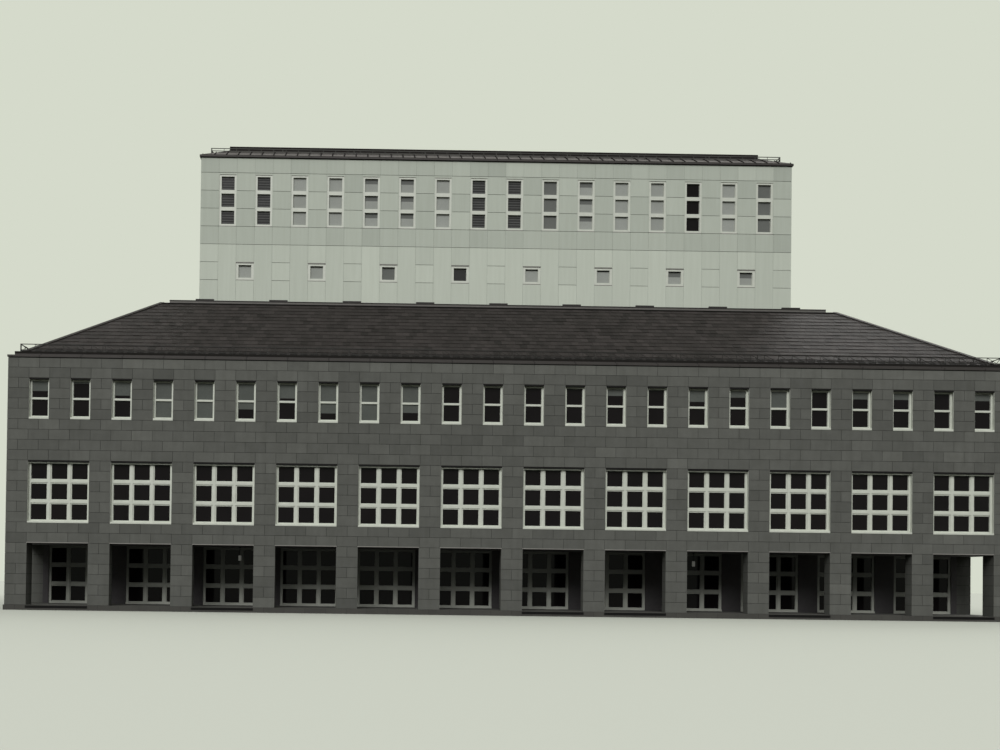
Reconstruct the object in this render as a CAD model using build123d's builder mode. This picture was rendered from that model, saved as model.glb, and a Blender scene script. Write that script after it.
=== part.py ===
"""A library building at half its real size: a stone block over arcades, with a set-back top.

Millimetres, +Z up. The origin is at the middle of the underside, and -Y is the front.
"""
from build123d import *
from collections import namedtuple
from math import cos, hypot, radians, sqrt, tan
import os

os.makedirs("parts", exist_ok=True)

# Setting out in plan: both blocks stand on one grid of bays between pier centres
bay = 1800.0
pier_width = 450.0
front_bays = 12
side_bays = 9
setback_bays = 2

# Heights: every storey is alike, on a low plinth
plinth_height = 112.0
plinth_step = 30.0
storey = 1800.0
low_storeys = 3
upper_storeys = 3
parapet_height = 420.0
floor_thickness = 180.0

# Arcades along the front and the back, open between their piers
arcade_height = 1350.0
pier_depth = 315.0
recess_wall = 160.0
ceiling_board = 40.0

# Outside walls
wall_thickness = 225.0

# Large windows stand on the first floor and fill a bay between piers
large_window_height = 1350.0

# Small windows, two to a bay, light the second floor
small_window_width = 450.0
small_window_height = 900.0
small_window_sill = 450.0

# The top block has square windows below and tall ones above, two to a bay
square_window_size = 450.0
square_window_sill = 900.0
tall_window_width = 450.0
tall_window_height = 1350.0
tall_window_sill = 450.0

# Frames and panes
frame_setback = 68.0
frame_width = 58.0
frame_depth = 80.0
pane_thickness = 24.0
recess_frame_setback = 20.0
upper_frame_setback = 30.0

# Low hipped roof: a metal fascia with a raised gutter behind it, slated slopes under hip caps,
# and a flat deck round the top block
eaves_overhang = 25.0
eaves_fascia_height = 45.0
gutter_place = 100.0
gutter_height = 98.0
slope_place = 215.0
slope_angle = 34.3
slope_thickness = 90.0
slope_run = 2557.0
hip_cap_wing = 72.0
hip_cap_thickness = 24.0
upstand_place = 2970.0
upstand_height = 135.0
upstand_thickness = 40.0
upstand_cap_height = 36.0

# Roof of the top block: a sloping metal apron round a flat roof behind a low kerb
apron_overhang = 40.0
fascia_drop = 35.0
apron_lip = 16.0
apron_run = 630.0
apron_rise = 373.0
apron_thickness = 147.0
apron_ledge = 70.0
ledge_depth = 80.0
kerb_height = 109.0
kerb_width = 110.0
roof_recess = 60.0

# Snow guards: two rails on posts, parallel to the eaves
low_guard_place = 190.0
low_guard_height = 185.0
upper_guard_place = 207.0
upper_guard_height = 120.0
guard_bar = 16.0
guard_post_pitch = 1800.0
guard_lower_rail = 50.0

# Sheets of one ring of trim stop this short of each other at the corners
sheet_joint = 1.0

# Sizes that follow from those above
low_length = front_bays * bay + pier_width
low_depth = side_bays * bay + pier_width
setback = setback_bays * bay
upper_front_bays = front_bays - 2 * setback_bays
upper_side_bays = side_bays - 2 * setback_bays
upper_length = low_length - 2 * setback
upper_depth = low_depth - 2 * setback
bay_opening = bay - pier_width

ground_level = plinth_height
first_level = ground_level + storey
second_level = ground_level + 2 * storey
eaves_level = ground_level + low_storeys * storey
upper_first_level = eaves_level + storey
upper_second_level = eaves_level + 2 * storey
upper_wall_top = eaves_level + upper_storeys * storey + parapet_height
lintel_level = ground_level + arcade_height

slope_tangent = tan(radians(slope_angle))
slope_foot = eaves_level + eaves_fascia_height + gutter_height
deck_level = slope_foot + slope_run * slope_tangent
deck_start = slope_place + slope_run
apron_slope = (apron_rise - apron_lip) / (apron_run + apron_overhang)


def side_faces(length, depth):
    """Outside faces of a block: each plane has X along the wall, Y up and Z outward."""
    return {
        "front": Plane(origin=(0, -depth / 2, 0), x_dir=(1, 0, 0), z_dir=(0, -1, 0)),
        "back": Plane(origin=(0, depth / 2, 0), x_dir=(-1, 0, 0), z_dir=(0, 1, 0)),
        "left": Plane(origin=(-length / 2, 0, 0), x_dir=(0, -1, 0), z_dir=(-1, 0, 0)),
        "right": Plane(origin=(length / 2, 0, 0), x_dir=(0, 1, 0), z_dir=(1, 0, 0)),
    }


low_faces = side_faces(low_length, low_depth)
upper_faces = side_faces(upper_length, upper_depth)
low_runs = {"front": low_length, "back": low_length, "left": low_depth, "right": low_depth}
upper_runs = {"front": upper_length, "back": upper_length, "left": upper_depth, "right": upper_depth}
low_bays = {"front": front_bays, "back": front_bays, "left": side_bays, "right": side_bays}
upper_bays = {
    "front": upper_front_bays,
    "back": upper_front_bays,
    "left": upper_side_bays,
    "right": upper_side_bays,
}

WindowRow = namedtuple("WindowRow", "sill width height pitch count")


def low_window_rows(bays):
    """Large windows one to a bay, small ones above them two to a bay."""
    return [
        WindowRow(first_level, bay_opening, large_window_height, bay, bays),
        WindowRow(
            second_level + small_window_sill, small_window_width, small_window_height, bay / 2, 2 * bays
        ),
    ]


def upper_window_rows(bays):
    """Square windows one to a bay, tall ones above them two to a bay."""
    return [
        WindowRow(
            upper_first_level + square_window_sill, square_window_size, square_window_size, bay, bays
        ),
        WindowRow(
            upper_second_level + tall_window_sill, tall_window_width, tall_window_height, bay / 2, 2 * bays
        ),
    ]


def pane_row(row, border):
    """The row with each window taken in by the width of its frame."""
    return WindowRow(
        row.sill + border, row.width - 2 * border, row.height - 2 * border, row.pitch, row.count
    )


def row_locations(row):
    """Centres of a row's windows, along a wall and up it."""
    middle = row.sill + row.height / 2
    first = -(row.count - 1) / 2 * row.pitch
    return [(first + place * row.pitch, middle) for place in range(row.count)]


def wall_with_windows(face, run, bottom, top, rows):
    """A wall of one thickness behind its outside face, with its windows cut through."""
    with BuildPart() as wall:
        with BuildSketch(face):
            with Locations((0, (bottom + top) / 2)):
                Rectangle(run, top - bottom)
            for row in rows:
                with Locations(*row_locations(row)):
                    Rectangle(row.width, row.height, mode=Mode.SUBTRACT)
        extrude(amount=-wall_thickness)
    return wall.part


def floor_slab(length, depth, top, thickness):
    """A level slab with its middle over the origin."""
    with BuildPart() as slab:
        with BuildSketch(Plane.XY.offset(top)):
            Rectangle(length, depth)
        extrude(amount=-thickness)
    return slab.part


def mitred_run(face, run, section, joint=0.0):
    """A section of (distance in from the face, height) along one side, mitred at both corners."""
    nearest = min(point[0] for point in section)
    farthest = max(point[0] for point in section)
    highest = max(point[1] for point in section)
    outer_half = run / 2 - nearest - joint
    inner_half = run / 2 - farthest - joint
    across = Plane(origin=face.origin, x_dir=-face.z_dir, z_dir=face.x_dir)
    level = Plane(origin=face.origin, x_dir=face.x_dir, z_dir=(0, 0, 1))
    with BuildPart() as piece:
        with BuildSketch(across):
            with BuildLine():
                Polyline(*section, close=True)
            make_face()
        extrude(amount=run / 2 - nearest, both=True)
        with BuildSketch(level):
            with BuildLine():
                Polyline(
                    (-outer_half, nearest),
                    (outer_half, nearest),
                    (inner_half, farthest),
                    (-inner_half, farthest),
                    close=True,
                )
            make_face()
        extrude(amount=highest, mode=Mode.INTERSECT)
    return piece.part


# Ground floor on its plinth, a low step out beyond the walls all round
with BuildPart() as ground_floor:
    with BuildSketch():
        Rectangle(low_length + 2 * plinth_step, low_depth + 2 * plinth_step)
    extrude(amount=ground_level)
ground_floor.part.label = "ground_floor"
export_step(ground_floor.part, "parts/ground_floor.step")

# Arcade piers along the front and the back: square at the corners, shallower between them
for side in ("front", "back"):
    face = low_faces[side]
    with BuildPart() as arcade_piers:
        with BuildSketch(face):
            with Locations((0, ground_level + arcade_height / 2)):
                with GridLocations(bay, 1, front_bays - 1, 1):
                    Rectangle(pier_width, arcade_height)
        extrude(amount=-pier_depth)
        with BuildSketch(face):
            with Locations((0, ground_level + arcade_height / 2)):
                with GridLocations(low_length - pier_width, 1, 2, 1):
                    Rectangle(pier_width, arcade_height)
        extrude(amount=-pier_width)
    arcade_piers.part.label = f"{side}_arcade_piers"
    export_step(arcade_piers.part, f"parts/{side}_arcade_piers.step")

# Piers between the ground-floor windows of the two side walls
with BuildPart() as side_piers:
    for side in ("left", "right"):
        with BuildSketch(low_faces[side]):
            with Locations((0, ground_level + arcade_height / 2)):
                with GridLocations(bay, 1, side_bays - 1, 1):
                    Rectangle(pier_width, arcade_height)
        extrude(amount=-pier_depth)
side_piers.part.label = "side_piers"
export_step(side_piers.part, "parts/side_piers.step")

# Behind each arcade a recessed wall, one bay in: piers in line with those outside, and a lintel
recess_end_width = pier_width - pier_depth
recess_end_place = low_length / 2 - pier_depth - recess_end_width / 2
for side in ("front", "back"):
    recess_face = low_faces[side].offset(-bay)
    with BuildPart() as recess_piers:
        with BuildSketch(recess_face):
            with Locations((0, ground_level + arcade_height / 2)):
                with GridLocations(bay, 1, front_bays - 1, 1):
                    Rectangle(pier_width, arcade_height)
                with Locations((-recess_end_place, 0), (recess_end_place, 0)):
                    Rectangle(recess_end_width, arcade_height)
        extrude(amount=-recess_wall)
    recess_piers.part.label = f"{side}_recess_piers"
    export_step(recess_piers.part, f"parts/{side}_recess_piers.step")

inner_length = low_length - 2 * wall_thickness
inner_depth = low_depth - 2 * wall_thickness
first_floor_soffit = first_level - floor_thickness
with BuildPart() as recess_lintels:
    for side in ("front", "back"):
        with BuildSketch(low_faces[side].offset(-bay)):
            with Locations((0, (lintel_level + first_floor_soffit) / 2)):
                Rectangle(inner_length, first_floor_soffit - lintel_level)
        extrude(amount=-recess_wall)
recess_lintels.part.label = "recess_lintels"
export_step(recess_lintels.part, "parts/recess_lintels.step")

# Ceiling boards over the arcades, from the outside wall to the recessed one
with BuildPart() as arcade_ceilings:
    for side in ("front", "back"):
        with BuildSketch(low_faces[side].offset(-wall_thickness)):
            with Locations((0, lintel_level + ceiling_board / 2)):
                Rectangle(inner_length, ceiling_board)
        extrude(amount=-(bay - wall_thickness))
arcade_ceilings.part.label = "arcade_ceilings"
export_step(arcade_ceilings.part, "parts/arcade_ceilings.step")

# Outside walls of the low block, from the arcade lintels to the eaves
for side in ("front", "back", "left", "right"):
    corner_trim = 0.0 if side in ("front", "back") else 2 * wall_thickness
    wall = wall_with_windows(
        low_faces[side],
        low_runs[side] - corner_trim,
        lintel_level,
        eaves_level,
        low_window_rows(low_bays[side]),
    )
    wall.label = f"{side}_wall"
    export_step(wall, f"parts/{side}_wall.step")

# Floors between the outside walls of the low block
for name, level in (
    ("first_floor", first_level),
    ("second_floor", second_level),
    ("attic_floor", eaves_level),
):
    slab = floor_slab(inner_length, inner_depth, level, floor_thickness)
    slab.label = name
    export_step(slab, f"parts/{name}.step")

# Window frames of the low block: one ring for each large window and each ground-floor one
ground_row_sides = WindowRow(ground_level, bay_opening, arcade_height, bay, side_bays - 2)
for side in ("front", "back", "left", "right"):
    large_row = low_window_rows(low_bays[side])[0]
    rows = [large_row] if side in ("front", "back") else [large_row, ground_row_sides]
    with BuildPart() as frames:
        with BuildSketch(low_faces[side].offset(-frame_setback)):
            for row in rows:
                light = pane_row(row, frame_width)
                with Locations(*row_locations(row)):
                    Rectangle(row.width, row.height)
                with Locations(*row_locations(light)):
                    Rectangle(light.width, light.height, mode=Mode.SUBTRACT)
        extrude(amount=-frame_depth)
    frames.part.label = f"{side}_window_frames"
    export_step(frames.part, f"parts/{side}_window_frames.step")

# Panes of the low block: a large one fits its frame, a small one fits the wall
pane_setback = frame_setback + (frame_depth - pane_thickness) / 2
for side in ("front", "back", "left", "right"):
    large_row, small_row = low_window_rows(low_bays[side])
    rows = [pane_row(large_row, frame_width), small_row]
    if side in ("left", "right"):
        rows.append(pane_row(ground_row_sides, frame_width))
    with BuildPart() as panes:
        with BuildSketch(low_faces[side].offset(-pane_setback)):
            for row in rows:
                with Locations(*row_locations(row)):
                    Rectangle(row.width, row.height)
        extrude(amount=-pane_thickness)
    panes.part.label = f"{side}_window_panes"
    export_step(panes.part, f"parts/{side}_window_panes.step")

# Glazing of the recessed walls behind the arcades, floor to lintel in every bay
ground_row_recess = WindowRow(ground_level, bay_opening, arcade_height, bay, front_bays)
recess_pane_row = pane_row(ground_row_recess, frame_width)
recess_pane_setback = recess_frame_setback + (frame_depth - pane_thickness) / 2
with BuildPart() as arcade_frames:
    for side in ("front", "back"):
        with BuildSketch(low_faces[side].offset(-bay - recess_frame_setback)):
            with Locations(*row_locations(ground_row_recess)):
                Rectangle(ground_row_recess.width, ground_row_recess.height)
            with Locations(*row_locations(recess_pane_row)):
                Rectangle(recess_pane_row.width, recess_pane_row.height, mode=Mode.SUBTRACT)
        extrude(amount=-frame_depth)
arcade_frames.part.label = "arcade_window_frames"
export_step(arcade_frames.part, "parts/arcade_window_frames.step")

with BuildPart() as arcade_panes:
    for side in ("front", "back"):
        with BuildSketch(low_faces[side].offset(-bay - recess_pane_setback)):
            with Locations(*row_locations(recess_pane_row)):
                Rectangle(recess_pane_row.width, recess_pane_row.height)
        extrude(amount=-pane_thickness)
arcade_panes.part.label = "arcade_window_panes"
export_step(arcade_panes.part, "parts/arcade_window_panes.step")

# Eaves of the low roof: a fascia out beyond the wall, and behind it the box of the gutter
slope_cut = slope_thickness / cos(radians(slope_angle))
fascia_top = eaves_level + eaves_fascia_height
eaves_section = [
    (-eaves_overhang, eaves_level),
    (-eaves_overhang, fascia_top),
    (gutter_place, fascia_top),
    (gutter_place, slope_foot),
    (slope_place, slope_foot),
    (slope_place, slope_foot - slope_cut),
    (wall_thickness, slope_foot - slope_cut + (wall_thickness - slope_place) * slope_tangent),
    (wall_thickness, eaves_level),
]
eaves_runs = [mitred_run(low_faces[side], low_runs[side], eaves_section, sheet_joint) for side in low_faces]
with BuildPart() as low_eaves:
    add(eaves_runs)
low_eaves.part.label = "low_eaves"
export_step(low_eaves.part, "parts/low_eaves.step")

# Slated slopes, one to a side, meeting at the hips
slope_section = [
    (slope_place, slope_foot - slope_cut),
    (slope_place, slope_foot),
    (deck_start, deck_level),
    (deck_start, deck_level - slope_cut),
]
for side in ("front", "back", "left", "right"):
    slope = mitred_run(low_faces[side], low_runs[side], slope_section)
    slope.label = f"{side}_roof_slope"
    export_step(slope, f"parts/{side}_roof_slope.step")

# Hip caps: an angle of sheet metal along each hip, its wings flat on the two slopes
hip_fall = slope_tangent / sqrt(2 + slope_tangent**2)
wing_across = hip_cap_wing / hypot(1, hip_fall)
wing_down = wing_across * hip_fall
edge_across = hip_cap_thickness * hip_fall / hypot(1, hip_fall)
edge_up = hip_cap_thickness / hypot(1, hip_fall)
hip_section = [
    (-wing_across, -wing_down),
    (0, 0),
    (wing_across, -wing_down),
    (wing_across + edge_across, edge_up - wing_down),
    (0, hip_cap_thickness * hypot(1, hip_fall)),
    (-wing_across - edge_across, edge_up - wing_down),
]
hip_length = slope_run * sqrt(2 + slope_tangent**2)
with BuildPart() as hip_caps:
    for across in (-1, 1):
        for along in (-1, 1):
            hip_foot = Plane(
                origin=(
                    across * (low_length / 2 - slope_place),
                    along * (low_depth / 2 - slope_place),
                    slope_foot,
                ),
                x_dir=(along, -across, 0),
                z_dir=(-across, -along, slope_tangent),
            )
            with BuildSketch(hip_foot):
                with BuildLine():
                    Polyline(*hip_section, close=True)
                make_face()
            extrude(amount=hip_length + hip_cap_wing)
            with BuildSketch(hip_foot):
                with BuildLine():
                    Polyline(*hip_section, close=True)
                make_face()
            extrude(amount=-hip_cap_wing)
    with BuildSketch(Plane.XY.offset(slope_foot)):
        Rectangle(low_length - 2 * slope_place, low_depth - 2 * slope_place)
        Rectangle(low_length - 2 * deck_start, low_depth - 2 * deck_start, mode=Mode.SUBTRACT)
    extrude(amount=deck_level + storey, mode=Mode.INTERSECT)
hip_caps.part.label = "hip_caps"
export_step(hip_caps.part, "parts/hip_caps.step")

# Flat deck from the slopes to the top block, with an upstand capped in line with its piers
upstand_top = deck_level + upstand_height
deck_section = [
    (deck_start, deck_level - slope_cut),
    (deck_start, deck_level),
    (upstand_place, deck_level),
    (upstand_place, upstand_top),
    (upstand_place + upstand_thickness, upstand_top),
    (upstand_place + upstand_thickness, deck_level),
    (setback, deck_level),
    (setback, deck_level - slope_cut),
]
deck_runs = [mitred_run(low_faces[side], low_runs[side], deck_section, sheet_joint) for side in low_faces]
with BuildPart() as roof_decks:
    add(deck_runs)
    for side in low_faces:
        with BuildSketch(low_faces[side].offset(-upstand_place)):
            with Locations((0, upstand_top + upstand_cap_height / 2)):
                with GridLocations(bay, 1, upper_bays[side] + 1, 1):
                    Rectangle(pier_width, upstand_cap_height)
        extrude(amount=-upstand_thickness)
roof_decks.part.label = "roof_decks"
export_step(roof_decks.part, "parts/roof_decks.step")

# Outside walls of the top block, standing on the attic floor
for side in ("front", "back", "left", "right"):
    corner_trim = 0.0 if side in ("front", "back") else 2 * wall_thickness
    wall = wall_with_windows(
        upper_faces[side],
        upper_runs[side] - corner_trim,
        eaves_level,
        upper_wall_top,
        upper_window_rows(upper_bays[side]),
    )
    wall.label = f"upper_{side}_wall"
    export_step(wall, f"parts/upper_{side}_wall.step")

# Floors of the top block
for name, level in (("upper_first_floor", upper_first_level), ("upper_second_floor", upper_second_level)):
    slab = floor_slab(
        upper_length - 2 * wall_thickness, upper_depth - 2 * wall_thickness, level, floor_thickness
    )
    slab.label = name
    export_step(slab, f"parts/{name}.step")

# Panes of the top block, nearly flush with its panels
upper_pane_setback = upper_frame_setback + (frame_depth - pane_thickness) / 2
with BuildPart() as upper_panes:
    for side in ("front", "back", "left", "right"):
        with BuildSketch(upper_faces[side].offset(-upper_pane_setback)):
            for row in upper_window_rows(upper_bays[side]):
                with Locations(*row_locations(row)):
                    Rectangle(row.width, row.height)
        extrude(amount=-pane_thickness)
upper_panes.part.label = "upper_window_panes"
export_step(upper_panes.part, "parts/upper_window_panes.step")

# Metal apron of the top roof: a fascia over the wall's head, and a ledge for the roof slab
roof_seat = upper_wall_top + apron_rise - apron_thickness
apron_section = [
    (-apron_overhang, upper_wall_top - fascia_drop),
    (-apron_overhang, upper_wall_top + apron_lip),
    (apron_run, upper_wall_top + apron_rise),
    (apron_run, roof_seat),
    (apron_run + apron_ledge, roof_seat),
    (apron_run + apron_ledge, roof_seat - ledge_depth),
    (wall_thickness, upper_wall_top),
    (0, upper_wall_top),
    (0, upper_wall_top - fascia_drop),
]
apron_runs = [
    mitred_run(upper_faces[side], upper_runs[side], apron_section, sheet_joint) for side in upper_faces
]
with BuildPart() as upper_eaves:
    add(apron_runs)
upper_eaves.part.label = "upper_eaves"
export_step(upper_eaves.part, "parts/upper_eaves.step")

# Flat roof of the top block, sunk a little behind its kerb
kerb_top = upper_wall_top + apron_rise + kerb_height
roof_length = upper_length - 2 * apron_run
roof_depth = upper_depth - 2 * apron_run
with BuildPart() as upper_roof:
    with BuildSketch(Plane.XY.offset(roof_seat)):
        Rectangle(roof_length, roof_depth)
    extrude(amount=kerb_top - roof_seat)
    with BuildSketch(Plane.XY.offset(kerb_top)):
        Rectangle(roof_length - 2 * kerb_width, roof_depth - 2 * kerb_width)
    extrude(amount=-roof_recess, mode=Mode.SUBTRACT)
upper_roof.part.label = "upper_roof"
export_step(upper_roof.part, "parts/upper_roof.step")


def snow_guards(faces, runs, place, foot, height):
    """Two rails on posts along each side of a roof, with a post at both ends."""
    with BuildPart() as guards:
        for side in faces:
            corner_room = 0.0 if side in ("front", "back") else 2 * guard_bar
            length = runs[side] - 2 * (place + corner_room)
            spaces = round((length - guard_bar) / guard_post_pitch)
            post_pitch = (length - guard_bar) / spaces
            with BuildSketch(faces[side].offset(-place)):
                with Locations((0, foot + guard_lower_rail), (0, foot + height - guard_bar / 2)):
                    Rectangle(length, guard_bar)
                with Locations((0, foot + height / 2)):
                    with GridLocations(post_pitch, 1, spaces + 1, 1):
                        Rectangle(guard_bar, height)
            extrude(amount=-guard_bar)
    return guards.part


# Snow guards: the low one stands on its gutter's edge, the upper one on the apron's slope
low_guards = snow_guards(low_faces, low_runs, low_guard_place, slope_foot, low_guard_height)
low_guards.label = "low_snow_guards"
export_step(low_guards, "parts/low_snow_guards.step")

upper_guard_foot = (
    upper_wall_top + apron_lip + (upper_guard_place + guard_bar + apron_overhang) * apron_slope
)
upper_guards = snow_guards(
    upper_faces, upper_runs, upper_guard_place, upper_guard_foot, upper_guard_height
)
upper_guards.label = "upper_snow_guards"
export_step(upper_guards, "parts/upper_snow_guards.step")
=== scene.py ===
"""Looks of the library building: a stone block over arcades, with a set-back panelled top.

Metres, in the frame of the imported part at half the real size: +Z up, -Y the front. Heights and
places along the facades are counted in modules, and four modules make one bay.
"""
import random
from math import cos, hypot, pi, radians, sin

import bpy
from mathutils import Matrix, Vector


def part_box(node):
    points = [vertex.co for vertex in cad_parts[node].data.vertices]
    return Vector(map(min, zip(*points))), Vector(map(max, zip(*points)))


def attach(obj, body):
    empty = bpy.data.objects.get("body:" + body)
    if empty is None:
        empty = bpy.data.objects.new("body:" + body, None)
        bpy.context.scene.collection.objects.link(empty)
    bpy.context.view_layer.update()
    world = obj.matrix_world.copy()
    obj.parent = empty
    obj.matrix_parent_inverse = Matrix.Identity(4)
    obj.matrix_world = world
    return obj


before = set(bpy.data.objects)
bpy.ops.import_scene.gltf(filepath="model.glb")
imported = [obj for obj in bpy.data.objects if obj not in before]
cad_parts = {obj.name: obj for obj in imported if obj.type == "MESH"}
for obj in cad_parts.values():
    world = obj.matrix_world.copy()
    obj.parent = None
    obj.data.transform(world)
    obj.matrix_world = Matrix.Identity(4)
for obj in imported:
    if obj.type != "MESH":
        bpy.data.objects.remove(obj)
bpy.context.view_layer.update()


# Setting: an even cloudy light over a plain pale floor, seen from low down in front of the left half.
# The floor and the sky show pale to the eye and in the glass, and throw little light back.
def linear(colour):
    """An sRGB hex colour as linear red, green, blue and alpha."""
    straight = []
    for place in (1, 3, 5):
        share = int(colour[place : place + 2], 16) / 255
        straight.append(share / 12.92 if share <= 0.04045 else ((share + 0.055) / 1.055) ** 2.4)
    return straight + [1.0]


def add_node(tree, kind, inputs=None, **settings):
    """Adds a node with its settings, gives its inputs their values or links, and returns its outputs."""
    node = tree.nodes.new(kind)
    for name, value in settings.items():
        setattr(node, name, value)
    for name, value in (inputs or {}).items():
        if isinstance(value, bpy.types.NodeSocket):
            tree.links.new(value, node.inputs[name])
        else:
            node.inputs[name].default_value = value
    return node.outputs


def new_material(name):
    """A material, its empty node tree, and the place on the building that its patterns follow."""
    material = bpy.data.materials.new(name)
    material.use_nodes = True
    tree = material.node_tree
    tree.nodes.clear()
    return material, tree, add_node(tree, "ShaderNodeTexCoord")["Object"]


def clouded(tree, darker, lighter, **cloud):
    """Two tones of one finish that drift into each other, spread by a noise with these inputs."""
    share = add_node(tree, "ShaderNodeTexNoise", cloud)["Fac"]
    tones = {0: share, 6: linear(darker), 7: linear(lighter)}
    return add_node(tree, "ShaderNodeMix", tones, data_type="RGBA")[2]


def seen_or_lighting(tree, seen, lighting):
    """Mixes two shaders: one for the eye and for reflections, and one for the light thrown around."""
    path = add_node(tree, "ShaderNodeLightPath")
    share = path["Is Camera Ray"]
    for ray in ("Is Glossy Ray", "Is Transmission Ray"):
        share = add_node(tree, "ShaderNodeMath", {0: share, 1: path[ray]}, operation="MAXIMUM")["Value"]
    return add_node(tree, "ShaderNodeMixShader", {0: share, 1: lighting, 2: seen})["Shader"]


scene = bpy.context.scene
scene.view_settings.view_transform = "Standard"

camera_place = (-3.261, -32.902, 0.773)
camera_turn, camera_tilt, camera_roll = radians(-0.477), radians(90.804), radians(0.733)
camera_data = bpy.data.cameras.new("photo_camera")
camera_data.sensor_width = 36.0
camera_data.lens = 40.588
camera_data.shift_x = 0.1283
camera_data.shift_y = 0.1879
camera = bpy.data.objects.new("photo_camera", camera_data)
scene.collection.objects.link(camera)
camera.matrix_world = (
    Matrix.Translation(camera_place)
    @ Matrix.Rotation(camera_turn, 4, "Z")
    @ Matrix.Rotation(camera_tilt, 4, "X")
    @ Matrix.Rotation(camera_roll, 4, "Z")
)
scene.camera = camera

# The lowest sky gives next to no light, as in a street, and most of it comes from above.
sky_light = {"From Min": 0.04, "From Max": 0.5, "To Min": 0.03, "To Max": 0.62}
world = bpy.data.worlds.new("cloudy_sky")
scene.world = world
world.use_nodes = True
tree = world.node_tree
tree.nodes.clear()
direction = add_node(tree, "ShaderNodeTexCoord")["Generated"]
height = add_node(tree, "ShaderNodeSeparateXYZ", {"Vector": direction})["Z"]
strength = add_node(tree, "ShaderNodeMapRange", {"Value": height, **sky_light})["Result"]
seen = add_node(tree, "ShaderNodeBackground", {"Color": linear("#D5DACB"), "Strength": 1.0})[0]
lighting = add_node(tree, "ShaderNodeBackground", {"Color": linear("#FFFFFF"), "Strength": strength})[0]
add_node(tree, "ShaderNodeOutputWorld", {"Surface": seen_or_lighting(tree, seen, lighting)})

floor_reach = 90.0
floor_material, tree, _ = new_material("pale_studio_floor")
pale = clouded(tree, "#9DA096", "#A3A69C", Scale=0.8, Detail=3.0)
seen = add_node(tree, "ShaderNodeBsdfDiffuse", {"Color": pale})["BSDF"]
lighting = add_node(tree, "ShaderNodeBsdfDiffuse", {"Color": linear("#26271F")})["BSDF"]
add_node(tree, "ShaderNodeOutputMaterial", {"Surface": seen_or_lighting(tree, seen, lighting)})
floor_mesh = bpy.data.meshes.new("floor")
floor_corners = ((-1, -1), (1, -1), (1, 1), (-1, 1))
floor_points = [(x * floor_reach, y * floor_reach, 0) for x, y in floor_corners]
floor_mesh.from_pydata(floor_points, [], [(0, 1, 2, 3)])
floor_mesh.materials.append(floor_material)
floor = bpy.data.objects.new("floor", floor_mesh)
scene.collection.objects.link(floor)

lamp_spread = 36
lamps = {
    "front_cloud": (2.9, 38, -14),
    "back_cloud": (1.4, 42, 160),
    "left_cloud": (0.7, 42, -90),
    "right_cloud": (0.7, 42, 90),
}
for name, (energy, elevation, turn) in lamps.items():
    lamp_data = bpy.data.lights.new(name, "SUN")
    lamp_data.energy = energy
    lamp_data.angle = radians(lamp_spread)
    lamp = bpy.data.objects.new(name, lamp_data)
    lamp.rotation_euler = (radians(90 - elevation), 0, radians(turn))
    scene.collection.objects.link(lamp)


# Plinth and ground floor: cast concrete, one step above the ground, with its formwork marks left on.
# The arcade walks are paved with squares of the same stone-grey concrete, one module wide.
def dress(material, *nodes):
    """Gives the frame's own nodes a material."""
    for name in nodes:
        node_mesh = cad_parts[name].data
        node_mesh.materials.clear()
        node_mesh.materials.append(material)


def finish_material(tree, shader_inputs):
    """Ends a material in one shader with these inputs."""
    shader = add_node(tree, "ShaderNodeBsdfPrincipled", shader_inputs)
    add_node(tree, "ShaderNodeOutputMaterial", {"Surface": shader["BSDF"]})


def grained(tree, strength, depth, **grain):
    """Relief of a surface to this depth, from a noise with these inputs."""
    height = add_node(tree, "ShaderNodeTexNoise", grain)["Fac"]
    bump = {"Height": height, "Strength": strength, "Distance": depth}
    return add_node(tree, "ShaderNodeBump", bump)["Normal"]


wall_low, wall_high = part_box("front_wall")
floor_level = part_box("ground_floor")[1].z
facade_modules = 49
module = (wall_high.x - wall_low.x) / facade_modules

paving, tree, place = new_material("shade_darkened_cast_concrete")
# Formwork leaves soft clouds about a metre long and pits of a few millimetres, drawn at 20 mm.
# Its grey is partly painted shade: it is darkened so that the walks read dark and throw little light up
# into the arcades.
tint = clouded(tree, "#2A2926", "#403F3A", Vector=place, Scale=1.3, Detail=4.0)
relief = grained(tree, 0.25, 0.004, Vector=place, Scale=48.0, Detail=2.0)
pattern = {"Vector": place, "Color1": linear("#FFFFFF"), "Color2": linear("#EDEDED")}
pattern |= {"Mortar": linear("#9A9A9A"), "Mortar Size": 0.004, "Scale": 1.0}
pattern |= {"Brick Width": module, "Row Height": module}
squares = add_node(tree, "ShaderNodeTexBrick", pattern, offset=0.0)["Color"]
layers = {0: 1.0, 6: tint, 7: squares}
paved = add_node(tree, "ShaderNodeMix", layers, data_type="RGBA", blend_type="MULTIPLY")[2]
finish_material(tree, {"Base Color": paved, "Roughness": 0.88, "Normal": relief})
dress(paving, "ground_floor")


# Stone cladding: sawn slabs of grey-green sandstone, twice as long as high, in running bond.
# Each hangs on steel pins before the masonry, with an open joint round it and an air gap on top.
def block_sides(half_length, half_depth):
    """For each side of a block, where its outside face is and half its length.

    The place leads from (along, up, out) on that face to the building's frame.
    """
    sides = {}
    for side, turn in (("front", 0), ("right", 90), ("back", 180), ("left", 270)):
        across, half_run = (half_length, half_depth) if turn % 180 else (half_depth, half_length)
        face = Matrix(((1, 0, 0, 0), (0, 0, -1, -across), (0, 1, 0, 0), (0, 0, 0, 1)))
        sides[side] = (Matrix.Rotation(radians(turn), 4, "Z") @ face, half_run)
    return sides


def new_shape():
    """Lists that collect closed blocks for one mesh, with a tone for each face."""
    return {"points": [], "faces": [], "tones": []}


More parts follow.
